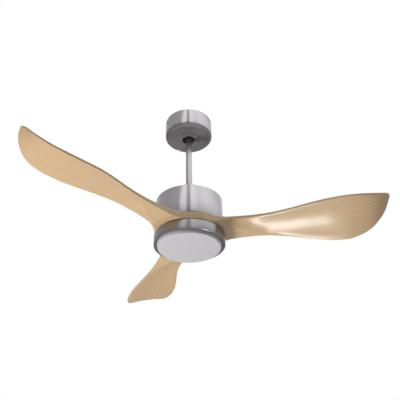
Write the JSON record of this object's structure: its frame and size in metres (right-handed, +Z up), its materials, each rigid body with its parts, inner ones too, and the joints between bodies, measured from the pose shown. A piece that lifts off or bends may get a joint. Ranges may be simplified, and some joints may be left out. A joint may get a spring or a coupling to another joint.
{
  "type": "ceiling fan with light",
  "caption": "Ceiling fan on a short down rod, with carved pale-wood blades round a brushed motor housing and a shallow opal light beneath.",
  "frame": {"origin": "middle of the ceiling bracket's flat top face, on the spin axis, at the ceiling", "axes": "+Z up along the spin axis, +X to the right and +Y away from the viewer of the pictured side"},
  "size_m": [1.1011, 1.1345, 0.5395],
  "materials": {
    "brushed_nickel": "brushed, clear coated",
    "grey_satin": "satin",
    "pale_wood": "oiled satin",
    "opal_acrylic": "opal satin",
    "zinc_steel": "zinc plated",
    "cast_aluminium": "as cast",
    "silicon_steel": "varnished laminations",
    "copper_winding": "enamelled wire",
    "ferrite": "matt",
    "black_nylon": "matt",
    "white_plastic": "matt",
    "brass": "plain",
    "white_board": "white solder mask",
    "nickel_screw": "bright nickel",
    "bearing_steel": "ground"
  },
  "bodies": {
    "ceiling_mount": {"ceiling_bracket": "zinc_steel", "cradle_ring": "zinc_steel", "cradle_strap_left": "zinc_steel", "cradle_strap_right": "zinc_steel", "canopy_shell": "brushed_nickel", "canopy_trim_ring": "brushed_nickel", "canopy_base_disc": "grey_satin", "canopy_screw_left": "nickel_screw", "canopy_screw_right": "nickel_screw", "receiver_box": "black_nylon", "terminal_block": "white_plastic", "earth_screw": "brass"},
    "ball_liner_ring": {"ball_liner": "black_nylon"},
    "hung_frame": {"down_rod": "brushed_nickel", "coupling_cover": "brushed_nickel", "motor_housing": "brushed_nickel", "light_ring": "brushed_nickel", "ball_set_screw": "zinc_steel", "ball_cross_pin": "zinc_steel", "rod_coupling": "zinc_steel", "clevis_pin": "zinc_steel", "split_pin": "zinc_steel", "coupling_set_screw_rod": "zinc_steel", "coupling_set_screw_shaft": "zinc_steel", "housing_nut": "zinc_steel", "light_mount_plate": "zinc_steel", "shaft_nut": "zinc_steel", "light_screw_1": "zinc_steel", "light_screw_2": "zinc_steel", "light_screw_3": "zinc_steel", "board_post_1": "zinc_steel", "board_post_2": "zinc_steel", "board_post_3": "zinc_steel", "lens_clip_1": "zinc_steel", "lens_clip_2": "zinc_steel", "lens_clip_3": "zinc_steel", "hanger_ball": "cast_aluminium", "stator_core": "silicon_steel", "winding_upper": "copper_winding", "winding_lower": "copper_winding", "led_driver": "white_plastic", "led_board": "white_board", "motor_shaft": "bearing_steel"},
    "rotor": {"magnet_ring": "ferrite", "rotor_cover_upper": "cast_aluminium", "rotor_cover_lower": "cast_aluminium", "bearing_upper": "bearing_steel", "bearing_lower": "bearing_steel", "blade_carrier": "cast_aluminium", "clamp_plate": "zinc_steel", "blade_1": "pale_wood", "blade_2": "pale_wood", "blade_3": "pale_wood", "blade_screw_1a": "zinc_steel", "blade_screw_1b": "zinc_steel", "blade_screw_2a": "zinc_steel", "blade_screw_2b": "zinc_steel", "blade_screw_3a": "zinc_steel", "blade_screw_3b": "zinc_steel"},
    "lens": {"opal_lens": "opal_acrylic"}
  },
  "joints": [
    {"name": "swing_across", "type": "hinge", "parent": "ceiling_mount", "child": "ball_liner_ring", "pos_m": [0, 0, -0.038], "axis": [0.9063, 0.4226, 0], "range_deg": [-11, 11]},
    {"name": "swing_along", "type": "hinge", "parent": "ball_liner_ring", "child": "hung_frame", "pos_m": [0, 0, -0.038], "axis": [-0.4226, 0.9063, 0], "range_deg": [-11, 11]},
    {"name": "rotor_spin", "type": "hinge", "parent": "hung_frame", "child": "rotor", "pos_m": [0, 0, -0.476], "axis": [0, 0, 1], "continuous": true},
    {"name": "lens_twist", "type": "hinge", "parent": "hung_frame", "child": "lens", "pos_m": [0, 0, -0.53], "axis": [0, 0, 1], "range_deg": [0, 24]}
  ]
}
